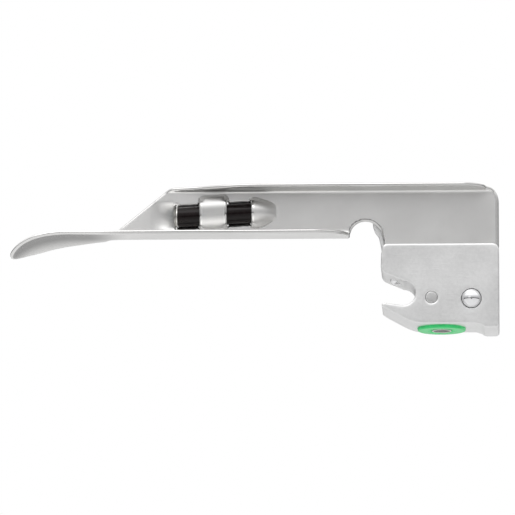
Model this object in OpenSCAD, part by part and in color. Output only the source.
// Straight laryngoscope blade with a hook-on heel block and a built-in light guide.
// Origin: axis of the hook that takes the handle's hinge pin. The tip points along -X,
// +Z is up with the heel block hanging below the blade, -Y is the open side of the channel.
// "Front" means towards -Y and "back" towards +Y.

/* [Blade] */
// Thickness of the pressed blade sheet
sheet_t = 0.8; // [0.7:0.05:0.9]
// Distance from the hook axis to the blade tip
tip_reach = 81.7; // [79:0.1:84]
// How far the beak dips below the straight part at the tip
beak_dip = 3.6; // [2.5:0.1:4.5]
// How far the beak's rear edge hangs below its front edge
beak_roll = 1.8; // [1:0.1:2.2]
// Height of the top flange above the hook axis
flange_z = 24; // [23.5:0.1:24.5]
// Width of the top flange in front of the web
flange_w = 4.4; // [4:0.1:5]

/* [Heel block] */
// Width of the block, side to side
block_w = 12.7; // [12.3:0.1:13]
// Heel face, from the hook axis
heel_x = 19.9; // [19.5:0.1:20.5]
// Top face of the block, above the hook axis
block_top = 10.4; // [10:0.1:10.8]
// Radius of the hook that takes the handle's hinge pin
hook_r = 2.55; // [2.4:0.05:2.6]
// Radius of the two side balls
side_ball_r = 2.1; // [2:0.05:2.1]
// Radius of the hook's own ball
hook_ball_r = 1.25; // [1.15:0.05:1.25]

/* [Light guide] */
// Outside radius of the light guide's sheath
guide_r = 2.15; // [2:0.05:2.15]
// Radius of the glass fibre core
core_r = 1.4; // [1.2:0.05:1.45]
// Outside radius of the coloured ring round the light inlet
ring_r = 5.05; // [4.8:0.05:5.2]

/* [Hidden] */
$fn = 48;
overlap = 0.05;
ball_gap = 0.04;                  // running clearance of the balls in their bores
core_gap = 0.03;                  // clearance round the fibre core

// Sheet
half_t = sheet_t / 2;
spat_z = 13.2;                    // mid height of the spatula
spat_end_x = -11.2;               // heel end of the spatula
front_y = -6.3;                   // front edge of the spatula
web_y = 3.0;                      // mid plane of the web
web_back_y = web_y + half_t;
low_r = 1.6;                      // bend between spatula and web
top_r = 1;                        // bend between web and flange
low_arc = PI * low_r / 2;
top_arc = PI * top_r / 2;
bend_y = web_y - low_r;           // where the spatula ends and the low bend starts
flange_mid_z = flange_z - half_t;
tip_x = -tip_reach;
tip_half = 5.45;                  // half width of the beak
tip_mid_y = front_y + tip_half;
tip_len = 6.5;                    // length over which the beak's outline rounds off
beak_x = -69;                     // where the beak starts to dip
web_low_x = -59;                  // where the trimmed web starts to grow
web_full_x = -48.3;               // sections nearer the tip are trimmed short

// Light guide and its holder
guide_mid_z = 18.05;              // guide height in the middle of its holder
guide_slope = 0.055;
guide_heel_z = 19.5;              // guide height behind the heel plate
guide_climb = 16;                 // length over which it rises to that height
outlet_x = -47.5;
holder_end_x = -31.8;
strip_x = [-42.6, -36.7];         // ends of the strip pressed to the front
slit = 0.12;                      // half width of the slits between the strips
press_front = guide_r + 0.95;     // how far strip and hood are pressed to the front
hood_len = 6;
guide_front_y = 2.6;              // guide axis where it shows in the windows
guide_back_y = web_back_y + 0.05 + guide_r; // guide axis behind the web
shift_r = 3.4;                    // radius of the double bend to the back of the web
shift_angle = acos(1 - (guide_back_y - guide_front_y) / (2 * shift_r));
shift_end_x = holder_end_x + 2 * shift_r * sin(shift_angle);
down_r = 6;                       // radius of the guide's bend down into the block
port_x = 7.9;                     // axis of the light inlet
dive_z = 8.2;                     // where the guide leaves the block's back and slopes in
kink_z = 1.6;                     // where it turns straight down to the inlet
lean = atan(guide_back_y / (dive_z - kink_z));

// Heel block
under_z = -6.45;                  // underside of the block
tang_top_z = 22.4;
seat_r = 3.05;                    // bores round the ferrule sleeve
pin_x = 5.87;                     // axis of the retaining pin
pin_z = -0.9;
side_x = 14.15;                   // axis of the two side balls
side_z = -1.15;
side_inset = 0.85;                // how far the side balls' centres sit inside the faces
side_floor = 0.6;                 // start of the side bores, from the middle plane
hook_ball_x = -1.5;
hook_ball_z = 3.85;

function clamp(v, low, high) = max(low, min(high, v));
function ease(v) = let (u = clamp(v, 0, 1)) u * u * (3 - 2 * u);
function quarter(u) = sqrt(max(0, 1 - pow(clamp(u, 0, 1), 2)));     // quarter circle, from 1 to 0
function steps(from, to, n) = [for (i = [0:n]) from + (to - from) * i / n];
// The same triangles, turned over if flip is true
function turned(faces, flip) = flip ? [for (t = faces) [t[0], t[2], t[1]]] : faces;

// ---- Blade sheet ----
// Forms of the web
PLAIN = 0;
FRONT_STRIP = 1;
BACK_STRIP = 2;
MOUTH = 3;                        // in front of the outlet, towards the tip
HOOD = 4;                         // where the guide passes through the web
PLATE = 9;                        // heel plate, without the spatula
// Links from one station to the next
WHOLE = 0;
SLIT = 1;
SPATULA_END = 2;
PLATE_ONLY = 3;

// Outline of the sheet, along the blade
function tip_round(x) = quarter((tip_x + tip_len - x) / tip_len);
function edge_y(x) = tip_mid_y - tip_half * tip_round(x)            // front edge of the spatula
    + 5.6 * (1 - quarter((x + 19) / 7.9));
function flat_w(x) = bend_y - edge_y(x);
function beak_w(x) = tip_mid_y + tip_half * tip_round(x) - edge_y(x);
function corner_z(x) = flange_mid_z - 3.6 * (1 - quarter((x - 17.6) / 2.31));
function lip_w(x) = flange_w * ease((x + 48.4) / 18) * quarter((x - 12.5) / 5.4);
// Height of the trimmed web, measured round the top bend
function trim_z(x) = min(15.6 + 0.81 * (x - web_low_x), flange_mid_z - top_r + top_arc);
// Added to a height on the web, gives the distance along the section
function web_shift(x) = flat_w(x) + low_arc - spat_z - low_r;
function section_len(x) = x < web_low_x ? beak_w(x)
    : max(beak_w(x), trim_z(x) + web_shift(x)) + lip_w(x);
// Lower edge of the heel plate: a notch, then the top of the block
function plate_low_z(x) = x < -4.7 ? 13.35 + 3.2 * sqrt(max(0.03, 1 - pow((x + 8) / 3.25, 2)))
    : block_top;

// Bending of the beak and of the web
function dip(x) = let (u = max(0, beak_x - x) / (beak_x - tip_x))
    beak_dip * (0.46 * pow(u, 2) + 0.54 * pow(u, 4));
function roll(x) = beak_roll * ease((-58 - x) / 20);
function drop(x, y) = dip(x) + roll(x) * pow(max(0, y - front_y) / (2 * tip_half), 2);
function rise(x) = 90 * ease((x + 63) / 4.5);   // angle of the web to the spatula

// Height of the guide's axis
function guide_z(x) = let (z = guide_mid_z
        + guide_slope * (clamp(x, outlet_x, holder_end_x) - (outlet_x + holder_end_x) / 2))
    z + (guide_heel_z - z) * ease((x - holder_end_x) / guide_climb);

// How far the web is pressed to the back, by its form
function dome(x, z, half_h) = quarter(abs(z - guide_z(x)) / half_h);
function mouth(x, z) = (guide_r + 0.3) * pow(dome(x, z, 2.7), 1.6)
    * pow(max(0, 1 - (outlet_x - x) / 5), 1.5);
function hood(x, z) = let (u = clamp((x - holder_end_x) / hood_len, 0, 1))
    -press_front * dome(x, z, 3.15 * (1 - 0.5 * pow(u, 1.5))) * (1 - pow(u, 2.2));
function bulge(x, z, form) =
      form == FRONT_STRIP ? -press_front * dome(x, z, 3)
    : form == BACK_STRIP ? (guide_r + 0.5) * dome(x, z, 2.6)
    : form == MOUTH ? mouth(x, z)
    : form == HOOD ? hood(x, z)
    : 0;

// Mid surface of the sheet: x along the blade, s along the section from the front edge
// Web and flange, by height measured round the top bend
function upper(x, height) = let (start_z = corner_z(x) - top_r, past = height - start_z,
        a = past / top_r * 180 / PI)
      past <= 0 ? [x, web_y, height]
    : past <= top_arc ? [x, web_y - top_r * (1 - cos(a)), start_z + top_r * sin(a)]
    : [x, web_y - top_r - (past - top_arc), corner_z(x)];
// Low bend and what follows it, at distance past beyond the flat
function lower(x, past, angle) = let (r = low_arc / (angle * PI / 180),
        a = angle * min(past, low_arc) / low_arc, rest = max(0, past - low_arc),
        y = bend_y + r * sin(a) + rest * cos(a))
    [x, y, spat_z - drop(x, y) + r * (1 - cos(a)) + rest * sin(a)];
function mid(x, s, form) = form == PLATE ? upper(x, s)
    : let (past = s - flat_w(x), angle = rise(x), y = edge_y(x) + s)
      past <= 0 || angle < 1 ? [x, y, spat_z - drop(x, y)]
    : past <= low_arc || angle < 89.9 ? lower(x, past, angle)
    : let (p = upper(x, s - web_shift(x))) p + [0, bulge(x, p[2], form), 0];
// Point on the sheet's surface; side is 1 or -1
function unit(v) = v / norm(v);
function surface_point(x, s, form, side) =
    let (h = 0.03, along = mid(x, s + h, form) - mid(x, s - h, form))
    mid(x, s, form) + side * half_t * unit([0, -along[2], along[1]]);

// Samples along a section: spatula, low bend, holder band, top bend, flange
spat_n = 6;
low_n = 4;
band_n = 12;
top_n = 4;
lip_n = 2;
band_half = 3.4;                  // half height of the band the holder is pressed from
band_first = spat_n + low_n + 1;  // index of the band's first sample
band_last = band_first + band_n;
top_first = band_last + 1;
top_last = top_first + top_n;
samples = top_last + lip_n + 1;

function lip_step(x) = max(0.05, lip_w(x)) / lip_n;
function full_marks(x) = let (flat = flat_w(x), shift = web_shift(x),
        top = shift + flange_mid_z - top_r)
    concat([for (i = [0:spat_n - 1]) flat * i / spat_n],
        [for (i = [0:low_n]) flat + low_arc * i / low_n],
        [for (i = [0:band_n]) shift + guide_mid_z + 0.25 - band_half * cos(180 * i / band_n)],
        [for (i = [0:top_n]) top + top_arc * i / top_n],
        [for (i = [1:lip_n]) top + top_arc + lip_step(x) * i]);
function trimmed_marks(x) = let (marks = full_marks(x))
    x < web_full_x ? marks * (section_len(x) / marks[samples - 1]) : marks;
// Heights for the heel plate; samples before the band all fall on its lower edge
function plate_marks(x) = let (low = plate_low_z(x), top = corner_z(x) - top_r,
        bend = top_arc * (corner_z(x) < flange_mid_z - 0.01 ? 0.3 : 1))
    [for (j = [0:samples - 1])
        low + (top - low) * clamp((j - band_first) / (top_first - band_first), 0, 1)
        + bend * clamp(j - top_first, 0, top_n) / top_n
        + lip_step(x) * max(0, j - top_last)];
function section(x, form) = let (marks = form == PLATE ? plate_marks(x) : trimmed_marks(x))
    [for (side = [1, -1]) for (s = marks) surface_point(x, s, form, side)];

// Stations along the blade: [x, form of the web, link to the next station]
function run(xs, form, last_link = WHOLE) = let (n = len(xs))
    [for (i = [0:n - 1]) [xs[i], form, i == n - 1 ? last_link : WHOLE]];
plate_x = concat(steps(spat_end_x + 0.05, -4.75, 7), [-4.1], steps(0, 12.5, 3),
    steps(13.5, 17.6, 5), [18.3, 18.9, 19.4, 19.75, heel_x - 0.01]);
stations = concat(
    run([for (i = [0:9]) tip_x + 0.2 + (tip_len - 0.1) * (1 - cos(90 * i / 9))], PLAIN),
    run(steps(-74, -64, 5), PLAIN),
    run(steps(-63, -53, 12), PLAIN),
    run(steps(-52.4, outlet_x - slit, 6), MOUTH, SLIT),
    run([outlet_x + slit, strip_x[0] - slit], BACK_STRIP, SLIT),
    run([strip_x[0] + slit, strip_x[1] - slit], FRONT_STRIP, SLIT),
    run([strip_x[1] + slit, holder_end_x - slit], BACK_STRIP, SLIT),
    run(steps(holder_end_x + slit, holder_end_x + hood_len, 9), HOOD),
    run(concat([-23.5, -21, -19], steps(-17.5, -12, 5), [spat_end_x]), PLAIN, SPATULA_END),
    [for (x = plate_x) [x, PLATE, PLATE_ONLY]]);

// Faces of the closed sheet. a is the first point of a station, b of the next one;
// each station holds one side's samples, then the other's.
station_pts = 2 * samples;
function skin(a, j) = let (b = a + station_pts, c = a + samples, d = b + samples)
    [[a + j, a + j + 1, b + j + 1], [a + j, b + j + 1, b + j],
     [c + j, d + j + 1, c + j + 1], [c + j, d + j, d + j + 1]];
function rim(a, j, flip) = let (b = a + station_pts)
    turned([[a + j, b + j, b + samples + j], [a + j, b + samples + j, a + samples + j]], flip);
function cap(a, j, flip) = let (c = a + samples)
    turned([[a + j, c + j, c + j + 1], [a + j, c + j + 1, a + j + 1]], flip);
function slit_faces(a) = concat(rim(a, band_first, true), rim(a, band_last, false),
    [for (j = [band_first:band_last - 1])
        each concat(cap(a, j, true), cap(a + station_pts, j, false))]);
// All faces between a station and the next
function link_faces(a, link) =
    let (first = link == WHOLE || link == SLIT ? 0 : band_first)
    concat([for (j = [first:samples - 2])
            if (link != SLIT || j < band_first || j >= band_last) each skin(a, j)],
        rim(a, first, false), rim(a, samples - 1, true),
        link == SLIT ? slit_faces(a) : [],
        link == SPATULA_END ? [for (j = [0:band_first - 1]) each cap(a, j, true)] : []);

module blade_shell() {
    last = len(stations) - 1;
    color([0.74, 0.74, 0.73]) polyhedron(
        points = [for (q = stations) each section(q[0], q[1])],
        faces = concat(
            [for (j = [0:samples - 2]) each cap(0, j, false)],
            [for (j = [band_first:samples - 2]) each cap(last * station_pts, j, true)],
            [for (i = [0:last - 1]) each link_faces(i * station_pts, stations[i][2])]),
        convexity = 10);
}

// ---- Heel block ----
function arc(cx, cz, r, from, to, n) =
    [for (a = steps(from, to, n)) [cx + r * cos(a), cz + r * sin(a)]];
// Side outlines, as [x, z]
block_profile = concat(
    arc(heel_x - 1.3, block_top - 1.3, 1.3, 0, 90, 6),
    arc(-3.4, block_top - 0.9, 0.9, 90, 165, 5),
    [[-4.54, 8.05]], arc(-3.0, 5.6, 1.62, 185, 240, 4),
    [[-2.6, 3.65], [-1.13, 3.05], [0, hook_r], [0.1, 0], [0, -hook_r], [-2.04, -2.25]],
    arc(-3.95, -2.45, 0.5, 80, 215, 6),
    [[-3.1, -3.55], [-2.04, -4.1], [-0.6, -4.92], [0.9, -5.7], [2.6, -6.3],
     [3.9, under_z], [15.1, under_z], [15.6, -6.6]],
    arc(17.1, -6.73, 0.6, 200, 270, 3),
    arc(heel_x - 0.7, -6.63, 0.7, 270, 360, 5));
tang_profile = [[-4.3, 9], [-4.85, 12], [-5.15, 13.5], [-5.9, 14.5], [-6.35, 15.6], [-6.5, 17],
    [-6.5, 21.4], [-5.6, tang_top_z], [16.4, tang_top_z], [18.1, 21.2], [18.9, 19.4],
    [19.3, 16], [19.5, 9]];

// Side outline made solid, from the block's back face forward
module from_back(depth) translate([0, block_w / 2, 0]) rotate([90, 0, 0])
    linear_extrude(height = depth) children();

// Channel for the guide through the tang and block; radii step slightly from leg to leg
module channel(r) {
    down_z = guide_heel_z - down_r;
    translate([-8, guide_back_y, guide_heel_z]) rotate([0, 90, 0])
        cylinder(r = r - 0.02, h = 8 + port_x - down_r + overlap);
    translate([port_x - down_r, guide_back_y, down_z]) rotate([90, 0, 0])
        rotate_extrude(angle = 90) translate([down_r, 0]) circle(r = r);
    translate([port_x, guide_back_y, dive_z - 1])
        cylinder(r = r + 0.02, h = down_z - dive_z + 1 + overlap);
    translate([port_x, 0, kink_z]) rotate([-lean, 0, 0]) translate([0, 0, -1])
        cylinder(r = r + 0.03, h = (dive_z - kink_z) / cos(lean) + 2);
    translate([port_x, 0, 0]) cylinder(r = r + 0.04, h = kink_z + r * tan(lean / 2) + 0.08);
}

// Bore of a side ball along +Z, with a narrowed mouth and a shallow groove round it
module side_bore() {
    r = side_ball_r + ball_gap;
    face = block_w / 2;
    translate([0, 0, side_floor]) cylinder(r = r, h = face - side_floor - 0.55);
    translate([0, 0, face - 0.56]) cylinder(r1 = r, r2 = side_ball_r - 0.125, h = 0.57);
    difference() {
        translate([0, 0, face - 0.14]) cylinder(r = 2.62, h = 0.3);
        translate([0, 0, face - 0.2]) cylinder(r = 2.32, h = 0.4);
    }
}

module heel_block() color([0.82, 0.82, 0.82]) difference() {
    union() {
        from_back(block_w) polygon(block_profile);
        from_back(block_w / 2 - web_back_y) polygon(tang_profile);
    }
    // hook for the handle's hinge pin
    translate([0, 10, 0]) rotate([90, 0, 0]) cylinder(r = hook_r, h = 20);
    // light guide and inlet
    channel(guide_r + 0.12);
    translate([port_x, 0, -8]) cylinder(r = seat_r, h = 9.3);
    translate([port_x, 0, -8]) cylinder(r = 4.03, h = 3.8);
    // side balls
    for (side = [-1, 1]) translate([side_x, 0, side_z]) rotate([90 * side, 0, 0]) side_bore();
    // hook's ball
    translate([hook_ball_x, 0, hook_ball_z - 0.2]) cylinder(r = hook_ball_r + ball_gap, h = 5.4);
    translate([hook_ball_x, 0, hook_ball_z - 1.2])
        cylinder(r1 = 0.9, r2 = hook_ball_r + ball_gap, h = 1.01);
    // hole of the retaining pin
    translate([pin_x, -1.95, pin_z]) rotate([90, 0, 0]) cylinder(r = 1.25, h = 6);
}

// Braze run along the tang's top edge, behind the plate
module braze_fillet() {
    r = 0.55;
    color([0.7, 0.7, 0.7]) translate([-3.2, web_back_y + r, tang_top_z]) rotate([0, 90, 0])
        difference() {
            cylinder(r = r, h = 19);
            translate([0, -1, -1]) cube([2, 3, 30]);
        }
}

module retaining_pin() {
    pin_r = 1.23;
    start = 2;                    // inner end, in front of the middle plane
    straight = block_w / 2 - start - 0.35;
    color([0.74, 0.74, 0.74]) translate([pin_x, -start, pin_z]) rotate([90, 0, 0]) {
        cylinder(r = pin_r, h = straight);
        translate([0, 0, straight]) cylinder(r1 = pin_r, r2 = pin_r - 0.25, h = 0.25);
    }
}

// ---- Light inlet ----
module colour_ring() color([0.16, 0.72, 0.32]) translate([port_x, 0, 0]) difference() {
    union() {
        translate([0, 0, -6.85]) cylinder(r = ring_r, h = 6.85 + under_z);
        translate([0, 0, -7.1]) cylinder(r1 = ring_r - 0.3, r2 = ring_r, h = 0.25);
        translate([0, 0, under_z]) cylinder(r = 4.0, h = 2.2);
    }
    translate([0, 0, -8]) cylinder(r = 2.1, h = 6);
    translate([0, 0, under_z + 1.25]) cylinder(r = seat_r, h = 2);
    translate([0, 0, -7.2]) cylinder(r1 = 2.9, r2 = 2.3, h = 0.4);
}

module ferrule_sleeve() color([0.62, 0.6, 0.56]) translate([port_x, 0, 0]) difference() {
    union() {
        translate([0, 0, -7.15]) cylinder(r = 2.06, h = 3.1);
        translate([0, 0, -4.15]) cylinder(r = 3.0, h = 4.7);
    }
    translate([0, 0, -8]) cylinder(r = core_r + core_gap, h = 9);
    translate([0, 0, -3.5]) cylinder(r = guide_r + 0.03, h = 5);
    translate([pin_x - port_x, -1.9, pin_z]) rotate([90, 0, 0]) cylinder(r = 1.28, h = 3);
}

module seal_ring() color([0.08, 0.08, 0.08]) translate([port_x, 0, -4.67])
    rotate_extrude() translate([2.52, 0]) circle(r = 0.41);

module inlet_window() color([0.2, 0.2, 0.24]) translate([port_x, 0, -7.12])
    cylinder(r = core_r, h = 0.2);

// ---- Swept round bodies ----
// A path is a list of [point, side vector, other side vector]; k is the number of sides.
function rings(path, r, k) = [for (q = path) for (j = [0:k - 1])
    q[0] + r * (cos(360 * j / k) * q[1] + sin(360 * j / k) * q[2])];
function walls(n, k, start, flip) = [for (i = [0:n - 2]) for (j = [0:k - 1])
    let (j2 = (j + 1) % k, a = start + i * k, b = a + k)
    each turned([[a + j, b + j, b + j2], [a + j, b + j2, a + j2]], flip)];
function disc(a, k, flip) = turned([for (j = [1:k - 2]) [a, a + j, a + j + 1]], flip);
function annulus(a, b, k, flip) = [for (j = [0:k - 1]) let (j2 = (j + 1) % k)
    each turned([[a + j, a + j2, b + j2], [a + j, b + j2, b + j]], flip)];

module rod(path, r, k, flip = true) {
    n = len(path);
    polyhedron(points = rings(path, r, k), faces = concat(walls(n, k, 0, flip),
        disc(0, k, flip), disc((n - 1) * k, k, !flip)), convexity = 8);
}
module tube(path, r, bore_r, k) {
    n = len(path);
    inner = n * k;
    end = inner - k;
    polyhedron(points = concat(rings(path, r, k), rings(path, bore_r, k)),
        faces = concat(walls(n, k, 0, true), walls(n, k, inner, false),
            annulus(0, inner, k, true), annulus(end, inner + end, k, false)), convexity = 8);
}
// Compression spring from z = 0 to z = h, with n points to a turn
module coil(h, r, wire_r, turns, n, k) {
    rise_h = h - 2 * wire_r;
    up = atan(rise_h / turns / (2 * PI * r));
    path = [for (i = [0:turns * n]) let (a = 360 * i / n)
        [[r * cos(a), r * sin(a), wire_r + rise_h * i / (turns * n)],
         [cos(a), sin(a), 0], [sin(a) * sin(up), -cos(a) * sin(up), cos(up)]]];
    rod(path, wire_r * 0.98, k, flip = false);
}

// ---- Light guide ----
// The guide's path from x = start_x at the outlet to z = end_z at the inlet
function level(x, y, a) = [[x, y, guide_z(x)], [-sin(a), cos(a), 0], [0, 0, 1]];
function route(start_x, end_z) = let (tilt = [0, 1, -tan(lean / 2)]) concat(
    [level(start_x, guide_front_y, 0)],
    [for (a = steps(0, shift_angle, 5))
        level(holder_end_x + shift_r * sin(a), guide_front_y + shift_r * (1 - cos(a)), a)],
    [for (i = [4:-1:0]) let (a = shift_angle * i / 5)
        level(shift_end_x - shift_r * sin(a), guide_back_y - shift_r * (1 - cos(a)), a)],
    [for (x = [-23, -19.5, holder_end_x + guide_climb]) level(x, guide_back_y, 0)],
    [for (a = steps(0, 90, 8))
        [[port_x - down_r + down_r * sin(a), guide_back_y, guide_heel_z - down_r * (1 - cos(a))],
         [0, 1, 0], [sin(a), 0, cos(a)]]],
    [[[port_x, guide_back_y, dive_z], tilt, [1, 0, 0]],
     [[port_x, 0, kink_z], tilt, [1, 0, 0]],
     [[port_x, 0, end_z], [0, 1, 0], [1, 0, 0]]]);

module guide_sheath() color([0.07, 0.05, 0.05])
    tube(route(outlet_x + 0.7, -3.4), guide_r, core_r + core_gap, 24);
module fibre_core() color([0.85, 0.85, 0.8]) rod(route(outlet_x + 0.45, -6.9), core_r, 24);

// Lays +Z along +X on the guide's axis at the outlet
module at_outlet(dx = 0) translate([outlet_x + dx, guide_front_y, guide_z(outlet_x)])
    rotate([0, 90, 0]) children();
module outlet_ferrule() color([0.75, 0.75, 0.73]) at_outlet() difference() {
    cylinder(r = guide_r, h = 0.68);
    translate([0, 0, -1]) cylinder(r = core_r + core_gap, h = 3);
}
module outlet_lens() color([0.8, 0.85, 0.9]) at_outlet(-0.1) cylinder(r = core_r, h = 0.5);

// ---- Balls and springs; side is -1 for the front, 1 for the back ----
// The spring's end circle of radius 1.2 sets where it meets the ball
side_spring_len = block_w / 2 - side_floor - side_inset
    - sqrt(side_ball_r * side_ball_r - 1.2 * 1.2) - 0.1;

module side_ball(side) color([0.8, 0.8, 0.82])
    translate([side_x, side * (block_w / 2 - side_inset), side_z]) sphere(r = side_ball_r);
module side_spring(side) color([0.6, 0.6, 0.62])
    translate([side_x, side * (side_floor + 0.02), side_z]) rotate([-90 * side, 0, 0])
    coil(h = side_spring_len, r = 1.4, wire_r = 0.2, turns = 4, n = 16, k = 8);

module side_ball_front() side_ball(-1);
module side_ball_back() side_ball(1);
module side_spring_front() side_spring(-1);
module side_spring_back() side_spring(1);
module hook_ball() color([0.8, 0.8, 0.82])
    translate([hook_ball_x, 0, hook_ball_z]) sphere(r = hook_ball_r);
module hook_spring() color([0.6, 0.6, 0.62]) translate([hook_ball_x, 0, 5.0])
    coil(h = 4.0, r = 0.85, wire_r = 0.14, turns = 6, n = 14, k = 6);

blade_shell();
heel_block();
braze_fillet();
colour_ring();
ferrule_sleeve();
seal_ring();
guide_sheath();
fibre_core();
inlet_window();
outlet_ferrule();
outlet_lens();
retaining_pin();
side_ball_front();
side_ball_back();
side_spring_front();
side_spring_back();
hook_ball();
hook_spring();
